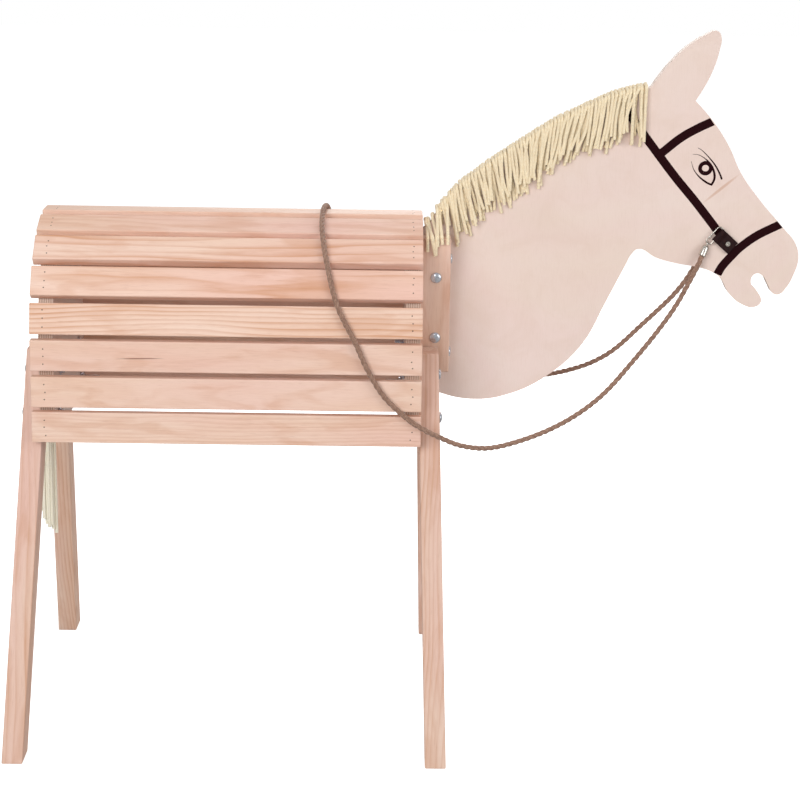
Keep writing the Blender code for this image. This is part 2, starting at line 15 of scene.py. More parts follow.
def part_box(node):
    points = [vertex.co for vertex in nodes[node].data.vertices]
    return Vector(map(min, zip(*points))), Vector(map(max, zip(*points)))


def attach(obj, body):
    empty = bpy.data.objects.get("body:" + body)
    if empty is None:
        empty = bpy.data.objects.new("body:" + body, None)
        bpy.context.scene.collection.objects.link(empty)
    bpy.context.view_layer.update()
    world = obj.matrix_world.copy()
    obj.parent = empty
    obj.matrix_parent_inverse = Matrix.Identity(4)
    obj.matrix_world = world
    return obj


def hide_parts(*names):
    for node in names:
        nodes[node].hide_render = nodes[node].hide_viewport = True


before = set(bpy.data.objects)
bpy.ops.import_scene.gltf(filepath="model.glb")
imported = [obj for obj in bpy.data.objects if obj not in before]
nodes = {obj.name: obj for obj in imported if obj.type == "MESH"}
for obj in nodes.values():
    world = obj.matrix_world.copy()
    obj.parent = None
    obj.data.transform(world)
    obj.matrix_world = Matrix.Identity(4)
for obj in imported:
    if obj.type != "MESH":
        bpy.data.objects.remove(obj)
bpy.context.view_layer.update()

BODY = "frame"
SIDES = {"right": -1, "left": 1}

# From the frame
RIDGE_LOW, RIDGE_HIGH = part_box("slat_ridge")
BARREL_REAR = RIDGE_LOW.x
BARREL_FRONT = RIDGE_HIGH.x
BARREL_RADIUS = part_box("slat_left_1")[1].y
ARCH_Z = RIDGE_HIGH.z - BARREL_RADIUS
FACE_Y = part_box("head_board")[1].y  # half the head board's thickness
BLOCK_LOW, BLOCK_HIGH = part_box("neck_block_left")
ROPE_RADIUS = 0.0040
STRAND_RADIUS = 0.0027  # of the mane's and the tail's yarn
YARN_LAY = {"sides": 9, "lobes": 3, "depth": 0.08, "pitch": 0.016}
SLAT_HALF = 0.0075  # half a slat's thickness
LEG_SPLAY = math.radians(18.8)
TAIL_HOLE_Z = 0.600
BOLT_HEAD = 0.0035  # height of a bolt's dome
THREAD_LENGTH = 0.030
THREAD_PITCH = 0.001
NUT_RADIUS = 0.00577  # to a corner

# The same route as the CAD rein
HOOK_BOTTOM = Vector((0.44010, 0.0139, 0.72013))
FERRULE_END = 0.0209  # of the ferrule, along its axis
REIN_RIGHT = [
    (0.4159, -0.0250, 0.6662),
    (0.3946, -0.0325, 0.6276),
    (0.3670, -0.0420, 0.5895),
    (0.3316, -0.0550, 0.5474),
    (0.2921, -0.0700, 0.5049),
    (0.2530, -0.0851, 0.4761),
    (0.2085, -0.1026, 0.4547),
    (0.1590, -0.1220, 0.4403),
    (0.1151, -0.1390, 0.4347),
    (0.0740, -0.1550, 0.4428),
    (0.0367, -0.1700, 0.4617),
    (0.0205, -0.1755, 0.4712),
    (-0.0020, -0.1764, 0.4860),
    (-0.0360, -0.1764, 0.5180),
    (-0.0600, -0.1764, 0.5560),
    (-0.0785, -0.1762, 0.5965),
    (-0.1050, -0.1657, 0.6484),
    (-0.1205, -0.1351, 0.7013),
    (-0.1290, -0.0882, 0.7407),
    (-0.1300, -0.0306, 0.7617),
]
REIN_LEFT = [
    (0.4262, 0.0245, 0.6735),
    (0.4126, 0.0275, 0.6503),
    (0.3927, 0.0335, 0.6239),
    (0.3557, 0.0470, 0.5823),
    (0.3201, 0.0600, 0.5432),
    (0.2903, 0.0712, 0.5200),
    (0.2561, 0.0840, 0.5030),
    (0.2150, 0.1000, 0.4893),
    (0.1590, 0.1220, 0.4765),
    (0.1100, 0.1410, 0.4735),
    (0.0640, 0.1590, 0.4820),
    (0.0200, 0.1755, 0.5010),
    (-0.0180, 0.1764, 0.5290),
    (-0.0470, 0.1764, 0.5640),
    (-0.0700, 0.1762, 0.6000),
    (-0.0960, 0.1657, 0.6484),
    (-0.1120, 0.1351, 0.7013),
    (-0.1220, 0.0882, 0.7407),
    (-0.1265, 0.0306, 0.7617),
]

# The head board's crest from the ear to the withers, as (x, z)
CREST = [
    (0.3430, 0.9470),
    (0.3300, 0.9445),
    (0.2955, 0.9350),
    (0.2130, 0.8960),
    (0.1716, 0.8690),
    (0.1250, 0.8380),
    (0.0745, 0.8000),
    (0.0380, 0.7590),
    (0.0240, 0.7420),
]


def srgb(red, green, blue):
    """A linear colour from the usual 0 to 255 values."""
    channels = (value / 255 for value in (red, green, blue))
    return [c / 12.92 if c <= 0.04045 else ((c + 0.055) / 1.055) ** 2.4 for c in channels] + [1]


# Meshes


def mesh_object(name, points, faces, material, smooth=True):
    mesh = bpy.data.meshes.new(name)
    mesh.from_pydata([tuple(point) for point in points], [], [tuple(face) for face in faces])
    mesh.materials.append(material)
    if smooth:
        mesh.shade_smooth()
        mesh.set_sharp_from_angle(angle=math.radians(40))
    obj = bpy.data.objects.new(name, mesh)
    bpy.context.scene.collection.objects.link(obj)
    return obj


class Solids:
    """Closed shapes gathered into one piece."""

    def __init__(self):
        self.points = []
        self.faces = []
        self.count = 0

    def add(self, points, faces):
        self.points.append(np.asarray(points, float))
        self.faces.extend(tuple(index + self.count for index in face) for face in faces)
        self.count += len(points)

    def piece(self, name, material, smooth=True):
        return mesh_object(name, np.concatenate(self.points), self.faces, material, smooth)


def smooth_path(route, step):
    """Points about `step` apart on a smooth curve through the route's points."""
    route = [Vector(point) for point in route]
    ends = [2 * route[0] - route[1], *route, 2 * route[-1] - route[-2]]
    path = []
    for before, start, end, after in zip(ends, ends[1:], ends[2:], ends[3:]):
        count = max(1, round((end - start).length / step))
        for i in range(count):
            t = i / count
            path.append(
                0.5
                * (
                    2 * start
                    + (end - before) * t
                    + (2 * before - 5 * start + 4 * end - after) * t**2
                    + (3 * start - before - 3 * end + after) * t**3
                )
            )
    return [*path, route[-1]]


def swept(path, radius, sides, lobes=0, depth=0.0, pitch=1.0, phase=0.0):
    """A tube along the path. With lobes, its strands are laid round it with this pitch."""
    points = np.array(path)
    count = len(points)
    tangents = np.gradient(points, axis=0)
    tangents /= np.linalg.norm(tangents, axis=1)[:, None]
    lengths = np.concatenate([[0], np.cumsum(np.linalg.norm(np.diff(points, axis=0), axis=1))])
    normal = np.cross(tangents[0], (0.31, 0.87, 0.39))
    angles = np.arange(sides) * 2 * math.pi / sides
    rings = []
    for i in range(count):
        normal = normal - tangents[i] * (normal @ tangents[i])
        normal /= np.linalg.norm(normal)
        other = np.cross(tangents[i], normal)
        around = radius * (1 - depth + depth * np.abs(np.cos(lobes * angles / 2)))
        turned = angles + phase + 2 * math.pi * lengths[i] / pitch
        offsets = np.outer(np.cos(turned), normal) + np.outer(np.sin(turned), other)
        rings.append(points[i] + offsets * around[:, None])
    faces = [
        (i * sides + j, i * sides + (j + 1) % sides, (i + 1) * sides + (j + 1) % sides, (i + 1) * sides + j)
        for i in range(count - 1)
        for j in range(sides)
    ]
    faces.append(tuple(reversed(range(sides))))
    faces.append(tuple(range((count - 1) * sides, count * sides)))
    return np.concatenate(rings), faces


def lathe(profile, steps):
    """A solid turned about Z from its profile, as (radius, height) from the top of the axis to its bottom."""
    points = [(0, 0, profile[0][1])]
    inner = profile[1:-1]
    for radius, height in inner:
        for j in range(steps):
            angle = 2 * math.pi * j / steps
            points.append((radius * math.cos(angle), radius * math.sin(angle), height))
    points.append((0, 0, profile[-1][1]))
    faces = [(0, 1 + j, 1 + (j + 1) % steps) for j in range(steps)]
    for i in range(len(inner) - 1):
        for j in range(steps):
            a = 1 + i * steps + j
            b = 1 + i * steps + (j + 1) % steps
            faces.append((a, a + steps, b + steps, b))
    last = 1 + (len(inner) - 1) * steps
    faces.extend((len(points) - 1, last + (j + 1) % steps, last + j) for j in range(steps))
    return np.array(points), faces


def moved(shape, matrix):
    points, faces = shape
    turn = np.array(matrix.to_3x3())
    return points @ turn.T + np.array(matrix.translation), faces


def aimed(point, direction):
    """A frame at this point whose +Z is this direction."""
    return Matrix.Translation(point) @ Vector(direction).to_track_quat("Z", "Y").to_matrix().to_4x4()


# Materials


class Look:
    """A procedural material. Its methods add nodes and return their output."""

    def __init__(self, name, centre=(0, 0, 0), turn=(0, 0, 0)):
        self.material = bpy.data.materials.new(name)
        self.material.use_nodes = True
        self.tree = self.material.node_tree
        self.shader = self.tree.nodes["Principled BSDF"]
        coordinates = self.tree.nodes.new("ShaderNodeTexCoord")
        place = self.tree.nodes.new("ShaderNodeMapping")
        place.vector_type = "TEXTURE"
        place.inputs["Location"].default_value = centre
        place.inputs["Rotation"].default_value = turn
        self.tree.links.new(coordinates.outputs["Object"], place.inputs["Vector"])
        self.here = place.outputs[0]
        self.normal = coordinates.outputs["Normal"]

    def feed(self, socket, value):
        if isinstance(value, bpy.types.NodeSocket):
            self.tree.links.new(value, socket)
        else:
            socket.default_value = value

    def node(self, kind, *values, **settings):
        node = self.tree.nodes.new(kind)
        for key, value in settings.items():
            setattr(node, key, value)
        for socket, value in zip(node.inputs, values):
            if value is not None:
                self.feed(socket, value)
        return node

    def math(self, operation, *values, clamp=False):
        return self.node("ShaderNodeMath", *values, operation=operation, use_clamp=clamp).outputs[0]

    def parts(self, vector):
        return self.node("ShaderNodeSeparateXYZ", vector).outputs

    def stretched(self, scale, shift=(0, 0, 0)):
        """This place, scaled along its axes and shifted."""
        scaled = self.node("ShaderNodeVectorMath", self.here, scale, operation="MULTIPLY").outputs[0]
        return self.node("ShaderNodeVectorMath", scaled, shift, operation="ADD").outputs[0]

    def noise(self, scale, shift=(0, 0, 0), detail=2.0, roughness=0.5, distortion=0.0):
        node = self.node("ShaderNodeTexNoise", self.stretched(scale, shift))
        node.inputs["Scale"].default_value = 1
        node.inputs["Detail"].default_value = detail
        node.inputs["Roughness"].default_value = roughness
        node.inputs["Distortion"].default_value = distortion
        return node.outputs[0]

    def ramp(self, factor, *stops):
        node = self.node("ShaderNodeValToRGB", factor)
        elements = node.color_ramp.elements
        while len(elements) < len(stops):
            elements.new(0.5)
        for element, (position, value) in zip(elements, stops):
            element.position = position
            element.color = value if isinstance(value, (list, tuple)) else (value, value, value, 1)
        return node.outputs[0]

    def mix(self, factor, first, second, blend="MIX"):
        node = self.tree.nodes.new("ShaderNodeMix")
        node.data_type = "RGBA"
        node.blend_type = blend
        self.feed(node.inputs[0], factor)
        self.feed(node.inputs[6], first)
        self.feed(node.inputs[7], second)
        return node.outputs[2]

    def blot(self, first, second, half_first, half_second, strength=0.75, axes=(0, 1), turned=0.0):
        """How much of a soft-edged ellipse covers this place. Its middle and half sizes are on two axes."""
        place = self.parts(self.here)
        far_first = self.math("SUBTRACT", place[axes[0]], first)
        far_second = self.math("SUBTRACT", place[axes[1]], second)
        cos, sin = math.cos(turned), math.sin(turned)
        along = self.math("MULTIPLY_ADD", far_first, cos, self.math("MULTIPLY", far_second, sin))
        across = self.math("MULTIPLY_ADD", far_second, cos, self.math("MULTIPLY", far_first, -sin))
        along = self.math("DIVIDE", along, half_first)
        across = self.math("DIVIDE", across, half_second)
        far = self.math("ADD", self.math("MULTIPLY", along, along), self.math("MULTIPLY", across, across))
        return self.ramp(far, (0.2, strength), (1.0, 0.0))

    def bump(self, height, distance, strength=1.0):
        node = self.tree.nodes.new("ShaderNodeBump")
        node.inputs["Distance"].default_value = distance
        node.inputs["Strength"].default_value = strength
        self.feed(node.inputs["Height"], height)
        self.feed(self.shader.inputs["Normal"], node.outputs[0])

    def finish(self, colour, roughness, metallic=0.0, shine=0.5, sheen=0.0):
        self.feed(self.shader.inputs["Base Color"], colour)
        self.feed(self.shader.inputs["Roughness"], roughness)
        self.shader.inputs["Metallic"].default_value = metallic
        self.shader.inputs["Specular IOR Level"].default_value = shine
        self.shader.inputs["Sheen Weight"].default_value = sheen
        return self.material


PINE_LIGHT = srgb(242, 214, 197)
PINE_MIDDLE = srgb(235, 199, 177)
PINE_LATE = srgb(205, 146, 108)
PINE_BLUSH = srgb(236, 194, 181)


def pine(name, centre, turn, seed, contrast=0.6, rings=None, pith=None, taper=None, streak=None, tint=1.0):
    """Pine, ringed round a pith to one side or below the face. X is along the grain, Z out of the face."""
    draw = random.Random(seed)
    look = Look(name, centre, turn)
    shift = [draw.uniform(-40, 40) for _ in range(3)]
    other = [draw.uniform(-40, 40) for _ in range(3)]
    rings = rings or draw.uniform(120, 190)
    if not pith:
        pith = (draw.choice((-1, 1)) * draw.uniform(0.0, 0.05), draw.uniform(0.02, 0.05))
    pith_across, pith_below = pith
    taper = draw.choice((-1, 1)) * draw.uniform(0.005, 0.03) if taper is None else taper
    along, across, through = look.parts(look.here)
    wander = look.math("SUBTRACT", look.noise((3.2, 9, 9), shift, detail=1.5), 0.5)
    drift = look.math("SUBTRACT", look.noise((2.3, 7, 7), other, detail=1.0), 0.5)
    across = look.math("ADD", look.math("MULTIPLY_ADD", wander, 0.030, across), pith_across)
    through = look.math("ADD", look.math("MULTIPLY_ADD", drift, 0.036, through), pith_below)
    through = look.math("MULTIPLY_ADD", along, taper, through)
    squares = look.math("ADD", look.math("MULTIPLY", across, across), look.math("MULTIPLY", through, through))
    distance = look.math("SQRT", squares)
    uneven = look.noise((4, 50, 50), other, detail=2.0)
    ring = look.math("FRACT", look.math("MULTIPLY_ADD", uneven, 1.3, look.math("MULTIPLY", distance, rings)))
    late = look.ramp(ring, (0.0, 0.20), (0.12, 0.05), (0.40, 0.08), (0.72, 0.55), (0.88, 1.0), (1.0, 0.20))
    patch = look.ramp(look.noise((3, 26, 26), shift, detail=3.0), (0.30, 0.15), (0.70, 1.0))
    amount = look.math("MULTIPLY", look.math("MULTIPLY", late, patch), contrast, clamp=True)
    tone = look.noise((2.6, 24, 24), shift, detail=4.0)
    base = look.mix(look.ramp(tone, (0.36, 0.0), (0.66, 1.0)), PINE_LIGHT, PINE_MIDDLE)
    base = look.mix(look.ramp(look.noise((1.9, 11, 11), other), (0.42, 0.0), (0.7, 0.8)), base, PINE_BLUSH)
    cloud = look.ramp(look.noise((8, 34, 34), other, detail=3.0, distortion=0.8), (0.50, 0.0), (0.64, 0.32))
    base = look.mix(cloud, base, PINE_LATE)
    colour = look.mix(amount, base, PINE_LATE)
    fibre = look.noise((24, 1100, 1100), shift, detail=2.0, roughness=0.6)
    colour = look.mix(look.ramp(fibre, (0.30, 0.14), (0.60, 0.0)), colour, srgb(200, 150, 122))
    pores = look.ramp(look.noise((60, 2400, 2400), other, detail=0.0), (0.68, 0.0), (0.76, 0.22))
    colour = look.mix(pores, colour, srgb(172, 112, 82))
    if streak:
        colour = look.mix(look.blot(*streak), colour, srgb(112, 62, 44))
    # tint darkens the whole colour: painted shade, used on the legs and the neck blocks
    colour = look.mix(1.0, colour, (tint, tint, tint, 1), "MULTIPLY")
    look.bump(look.math("MULTIPLY_ADD", late, 0.35, fibre), 0.00022, 0.5)
    return look.finish(colour, look.math("MULTIPLY_ADD", fibre, 0.16, 0.44), shine=0.3)


def plywood(name, axis, thickness, seed, streak=None):
    """Birch plywood: pale rotary-cut veneer on its faces, and its plies in bands round its edges."""
    draw = random.Random(seed)
    look = Look(name)
    shift = [draw.uniform(-30, 30) for _ in range(3)]
    scale = [2.1, 2.1, 2.1]
    scale[axis] = 0.0
    figure = look.noise(scale, shift, detail=1.5, distortion=0.6)
    bands = look.math("FRACT", look.math("MULTIPLY", figure, 11.0))
    bands = look.ramp(bands, (0.0, 0.15), (0.5, 1.0), (0.95, 0.15), (1.0, 0.15))
    cloud = look.noise([value * 2.2 for value in scale], shift, detail=3.0)
    face = look.mix(look.ramp(cloud, (0.32, 0.0), (0.68, 1.0)), srgb(237, 218, 210), srgb(234, 214, 201))
    face = look.mix(look.math("MULTIPLY", bands, 0.35), face, srgb(235, 208, 202))
    veneer = [1300.0, 1300.0, 1300.0]
    veneer[axis] = 0.0
    veneer[2 if axis == 1 else 1] = 70.0
    flecks = look.noise(veneer, shift, detail=2.0, roughness=0.6)
    face = look.mix(look.ramp(flecks, (0.28, 0.12), (0.50, 0.0)), face, srgb(205, 178, 160))
    mottle = look.noise([value * 9 for value in scale], shift, detail=4.0, roughness=0.6, distortion=1.0)
    face = look.mix(look.ramp(mottle, (0.45, 0.0), (0.72, 0.30)), face, srgb(222, 196, 180))
    if streak:
        face = look.mix(look.blot(*streak), face, srgb(198, 150, 118))
    place = look.parts(look.here)[axis]
    ply = look.math("FRACT", look.math("DIVIDE", place, thickness / 6.5))
    light = srgb(224, 205, 190)
    dark = srgb(188, 158, 140)
    glue = srgb(140, 104, 84)
    edge = look.ramp(ply, (0.0, glue), (0.05, light), (0.46, light), (0.50, glue), (0.54, dark), (0.97, dark))
    grain = [500.0, 500.0, 500.0]
    grain[axis] = 1500.0
    edge = look.mix(look.ramp(look.noise(grain, shift), (0.35, 0.35), (0.7, 0.0)), edge, srgb(150, 118, 100))
    facing = look.math("ABSOLUTE", look.parts(look.normal)[axis])
    on_face = look.math("GREATER_THAN", facing, 0.6)
    colour = look.mix(on_face, edge, face)
    look.bump(look.math("ADD", flecks, look.math("MULTIPLY", bands, 0.3)), 0.00012, 0.4)
    return look.finish(colour, look.math("MULTIPLY_ADD", flecks, 0.12, 0.36), shine=0.4)


def metal(name, colour, tint, roughness):
    look = Look(name)
    cloud = look.noise((260, 260, 260), detail=3.0)
    scratches = look.noise((2500, 400, 2500), detail=1.0)
    look.bump(scratches, 0.00003, 0.25)
    rough = look.math("MULTIPLY_ADD", cloud, 0.14, roughness)
    return look.finish(look.mix(look.ramp(cloud, (0.35, 0.0), (0.7, 1.0)), colour, tint), rough, metallic=1.0)


def fibres(name, light, dark, scale, roughness, shadow=0.5):
    """Spun fibre: short hairs and darker tufts."""
    look = Look(name)
    hair = look.noise((scale, scale, scale * 0.35), detail=3.0, roughness=0.65)
    tuft = look.noise((scale / 7, scale / 7, scale / 7), detail=2.0)
    colour = look.mix(look.ramp(hair, (0.32, 1.0), (0.62, 0.0)), light, dark)
    colour = look.mix(look.ramp(tuft, (0.35, shadow), (0.6, 0.0)), colour, dark)
    look.bump(hair, 0.0004, 0.4)
    return look.finish(colour, roughness, sheen=0.3, shine=0.2)


def ink(name):
    """Screen-printed ink with the veneer's pores just showing."""
    look = Look(name)
    worn = look.noise((900, 900, 900), detail=2.0)
    colour = look.mix(look.ramp(worn, (0.30, 0.5), (0.5, 0.0)), srgb(32, 2, 7), srgb(56, 20, 22))
    look.bump(worn, 0.00006, 0.4)
    return look.finish(colour, 0.7, shine=0.08)


def leather(name):
    look = Look(name)
    cells = look.node("ShaderNodeTexVoronoi", look.stretched((1500, 1500, 1500)), feature="DISTANCE_TO_EDGE")
    pebble = look.ramp(cells.outputs["Distance"], (0.0, 0.0), (0.25, 1.0))
    cloud = look.noise((220, 220, 220), detail=3.0)
    colour = look.mix(look.ramp(cloud, (0.35, 0.0), (0.7, 1.0)), srgb(28, 5, 8), srgb(46, 18, 17))
    look.bump(pebble, 0.00010, 0.6)
    return look.finish(colour, look.math("MULTIPLY_ADD", cloud, 0.2, 0.52), shine=0.18)


zinc = metal("bright_zinc", srgb(214, 218, 226), srgb(190, 194, 204), 0.16)
nickel = metal("polished_nickel", srgb(214, 208, 200), srgb(186, 180, 172), 0.14)
steel = metal("dark_nail_steel", srgb(120, 104, 96), srgb(92, 76, 68), 0.45)
yarn = fibres("cream_yarn", srgb(254, 242, 214), srgb(246, 222, 182), 1500, 0.85, shadow=0.25)
# The tail's yarn is the mane's yarn made lighter, with fewer dark tufts: painted light on the tail, which
# hangs in shade
tail_yarn = fibres("yarn_with_painted_light", srgb(255, 253, 236), srgb(255, 246, 222), 1500, 0.85, shadow=0.1)
rope_fibre = fibres("brown_rope_fibre", srgb(184, 150, 130), srgb(116, 84, 70), 1700, 0.88)
halter_ink = ink("halter_ink")
strap_leather = leather("strap_leather")


def ride(obj, slot, *replaced, body=BODY):
    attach(obj, body)
    if replaced:
        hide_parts(*replaced)
    return obj


def paint(name, material):
    nodes[name].data.materials.clear()
    nodes[name].data.materials.append(material)


# Camera, light and floor


def make_camera():
    data = bpy.data.cameras.new("camera")
    data.sensor_width = 36
    data.lens = 94.58
    data.clip_end = 50
    camera = bpy.data.objects.new("camera", data)
    bpy.context.scene.collection.objects.link(camera)
    yaw, pitch, roll = (math.radians(value) for value in (0.6498, -14.1194, 0.9213))
    ahead = Vector((math.sin(yaw) * math.cos(pitch), math.cos(yaw) * math.cos(pitch), math.sin(pitch)))
    level = Vector((math.cos(yaw), -math.sin(yaw), 0))
    upright = level.cross(ahead)
    right = math.cos(roll) * level + math.sin(roll) * upright
    up = -math.sin(roll) * level + math.cos(roll) * upright
    axes = Matrix((right, up, -ahead)).transposed().to_4x4()
    camera.matrix_world = Matrix.Translation((-0.0471, -3.0934, 1.2487)) @ axes
    bpy.context.scene.camera = camera


def area_light(name, place, target, size, power):
    data = bpy.data.lights.new(name, "AREA")
    data.shape = "DISK"
    data.size = size
    data.energy = power
    light = bpy.data.objects.new(name, data)
    bpy.context.scene.collection.objects.link(light)
    light.matrix_world = aimed(Vector(place), Vector(place) - Vector(target))


def make_studio():
    middle = (0, 0, 0.5)
    area_light("key", (-1.6, -3.4, 1.9), middle, 2.4, 69)
    area_light("fill", (2.8, -2.4, 1.4), middle, 2.4, 36)
    area_light("top", (0.2, 0.4, 3.4), middle, 2.6, 14)
    area_light("back", (0.6, 3.0, 1.8), middle, 2.4, 42)
    world = bpy.data.worlds.new("studio")
    world.use_nodes = True
    tree = world.node_tree
    tree.nodes["Background"].inputs["Color"].default_value = (1, 1, 1, 1)
    # The backdrop is seen full white, and lights the horse less
    seen = tree.nodes.new("ShaderNodeLightPath").outputs["Is Camera Ray"]
    strength = tree.nodes.new("ShaderNodeMapRange")
    strength.inputs["To Min"].default_value = 0.50
    strength.inputs["To Max"].default_value = 1.0
    tree.links.new(seen, strength.inputs["Value"])
    tree.links.new(strength.outputs[0], tree.nodes["Background"].inputs["Strength"])
    bpy.context.scene.world = world
    make_floor()
    bpy.context.scene.view_settings.view_transform = "Standard"


def make_floor():
    """White paper, which glows a little in view and throws less light back up."""
    look = Look("studio_floor")
    cloud = look.noise((3, 3, 3))
    seen = look.tree.nodes.new("ShaderNodeLightPath").outputs["Is Camera Ray"]
    paper = look.mix(look.ramp(cloud, (0.3, 0.0), (0.7, 1.0)), srgb(250, 250, 250), srgb(253, 253, 253))
    material = look.finish(look.mix(seen, srgb(186, 184, 182), paper), 0.9, shine=0.1)
    look.feed(look.shader.inputs["Emission Color"], srgb(255, 255, 255))
    look.feed(look.shader.inputs["Emission Strength"], look.math("MULTIPLY", seen, 0.62))
    reach = 14
    corners = [(-reach, -reach, 0), (reach, -reach, 0), (reach, reach, 0), (-reach, reach, 0)]
    mesh_object("studio_floor", corners, [(0, 1, 2, 3)], material, smooth=False)


# Rein


def rein_route():
    starts = {}
    for side in (-1, 1):
        axis = Vector((0.08 * side - 0.30, side * 0.24, -0.91)).normalized()
        mouth = HOOK_BOTTOM * Vector((1, side, 1)) + axis * FERRULE_END
        starts[side] = [mouth, mouth + axis * 0.012]
    return [*starts[-1], *REIN_RIGHT, *reversed(REIN_LEFT), *reversed(starts[1])]


def make_rein():
    """A three-strand laid rope from ferrule to ferrule."""
    path = smooth_path(rein_route(), 0.0017)
    points, faces = swept(path, ROPE_RADIUS, 18, lobes=3, depth=0.38, pitch=0.030)
    rope = ride(mesh_object("rein_laid_rope", points, faces, rope_fibre), "rein_cord", "rein_rope")


# Wood


# The figure of the planks that show most; the rest take theirs at random
FIGURE = {
    "slat_ridge": {"contrast": 0.25, "rings": 150, "pith": (0.050, 0.020), "taper": 0.0},
    "slat_right_7": {"contrast": 0.35, "rings": 120, "pith": (0.020, 0.030), "taper": 0.010},
    "slat_right_6": {"contrast": 0.95, "rings": 105, "pith": (-0.030, 0.022), "taper": 0.004},
    "slat_right_5": {"contrast": 0.75, "rings": 110, "pith": (0.004, 0.026), "taper": -0.022},
    "slat_right_4": {"contrast": 1.0, "rings": 150, "pith": (0.052, 0.020), "taper": 0.006},
    "slat_right_3": {
        "contrast": 0.12,
        "rings": 120,
        "pith": (0.010, 0.040),
        "taper": 0.010,
        "streak": (-0.1225, -0.0022, 0.036, 0.0010, 0.75, (0, 1), math.radians(1.2)),
    },
    "slat_right_2": {"contrast": 0.12, "rings": 120, "pith": (0.000, 0.040), "taper": 0.010},
    "slat_right_1": {"contrast": 0.55, "rings": 190, "pith": (-0.045, 0.020), "taper": 0.005},
}


def slat_place(name):
    """A slat's middle, and the turn about X that stands its face on the barrel."""
    low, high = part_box(name)
    centre = (low + high) / 2
    side = -1 if "right" in name else 1
    if name == "slat_ridge":
        return centre, 0.0
    angle = max(0.0, math.atan2(centre.z - ARCH_Z, abs(centre.y)))
    if high.y - low.y < 2 * SLAT_HALF + 0.0005:
        angle = 0.0
    return centre, -side * (math.pi / 2 - angle)


def paint_slats():
    names = sorted(name for name in nodes if name.startswith("slat_"))
    for seed, name in enumerate(names):
        centre, turn = slat_place(name)
        figure = FIGURE.get(name, {})
        paint(name, pine(f"pine_{name}", centre, (turn, 0, 0), 40 + seed, **figure))


def make_nails():
    """Three small wire nails at each end of each slat."""
    draw = random.Random(3)
    nails = Solids()
    head = lathe([(0, 0.0002), (0.0007, 0.0002), (0.0010, 0.0), (0.0010, -0.004), (0, -0.004)], 10)
    for name in sorted(name for name in nodes if name.startswith("slat_")):
        centre, turn = slat_place(name)
        face = Matrix.Translation(centre) @ Matrix.Rotation(turn, 4, "X")
        for end in (BARREL_REAR + 0.0195 - centre.x, BARREL_FRONT - 0.0140 - centre.x):
            for across in (-0.0115, 0.0, 0.0115):
                spot = Vector((end + draw.gauss(0, 0.001), across + draw.gauss(0, 0.001), SLAT_HALF))
                nails.add(*moved(head, face @ Matrix.Translation(spot)))
    ride(nails.piece("plank_nails", steel), "zinc_plate")


def paint_legs():
    legs = sorted(name for name in nodes if name.startswith("leg_") and name.count("_") == 2)
    for seed, name in enumerate(legs):
        low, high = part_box(name)
        side = -1 if "right" in name else 1
        # X runs up the leg, and Z out of the horse's side
        grain = Vector((0, -side * math.sin(LEG_SPLAY), math.cos(LEG_SPLAY)))
        outward = Vector((0, side * math.cos(LEG_SPLAY), math.sin(LEG_SPLAY)))
        axes = Matrix((grain, outward.cross(grain), outward)).transposed()
        turn = axes.to_euler("XYZ")
        # The tint paints shade on the legs, more on the right legs than on the left
        figure = {"contrast": 0.7, "pith": (0.045, 0.02), "tint": 0.90 if "right" in name else 0.96}
        paint(name, pine(f"pine_{name}", (low + high) / 2, turn, 90 + seed, **figure))


def paint_boards():
    for seed, name in enumerate(("neck_block_right", "neck_block_left")):
        low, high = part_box(name)
        turn = (0, math.radians(90), 0)
        # The tint paints shade on the neck blocks
        paint(name, pine(f"pine_{name}", (low + high) / 2, turn, 120 + seed, contrast=0.2, tint=0.94))
    for seed, name in enumerate(("former_rear", "former_front")):
        low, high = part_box(name)
        paint(name, plywood(f"plywood_{name}", 0, high.x - low.x, 7 + seed))
    veneer_streak = (0.4574, 0.8013, 0.036, 0.0026, 0.5, (0, 2), math.radians(40))
    paint("head_board", plywood("plywood_head", 1, 2 * FACE_Y, 5, streak=veneer_streak))


# Printed halter and eye

PRINT_RISE = 0.00012


def ribbon(centre_line, widths, start_cut=None, end_cut=None):
    """The two edges of a stroke along a smooth line in XZ. A cut is the direction of a slanted end."""
    path = [Vector((x, 0, z)) for x, z in centre_line]
    dense = smooth_path(path, 0.003)
    count = len(dense)
    left, right = [], []
    for i, point in enumerate(dense):
        along = (dense[min(i + 1, count - 1)] - dense[max(i - 1, 0)]).normalized()
        across = Vector((-along.z, 0, along.x))
        share = i / (count - 1) * (len(widths) - 1)
        step = min(int(share), len(widths) - 2)
        half = (widths[step] + (widths[step + 1] - widths[step]) * (share - step)) / 2
        cut = start_cut if i == 0 else end_cut if i == count - 1 else None
        if cut:
            cut = Vector((cut[0], 0, cut[1]))
            across = cut / cut.dot(across)
        left.append(point + across * half)
        right.append(point - across * half)
    return left, right


def add_print(solids, left, right, rise):
    """A thin slab of ink between two edges, on both faces of the head board."""
    count = len(left)
    outline = [*range(count), *range(2 * count - 1, count - 1, -1)]
    for side in (-1, 1):
        rows = []
        for y in (FACE_Y + 0.00002, FACE_Y + rise):
            rows.extend((p.x, side * y, p.z) for p in [*left, *right])
        under = 0
        over = 2 * count
        faces = []
        for i in range(count - 1):
            faces.append((over + i, over + i + 1, over + count + i + 1, over + count + i))
            faces.append((under + i, under + count + i, under + count + i + 1, under + i + 1))
        for a, b in zip(outline, [*outline[1:], outline[0]]):
            faces.append((under + a, under + b, over + b, over + a))
        area = (Vector(rows[1]) - Vector(rows[0])).cross(Vector(rows[count]) - Vector(rows[0])).y
        if area * side < 0:
            faces = [tuple(reversed(face)) for face in faces]
        solids.add(rows, faces)


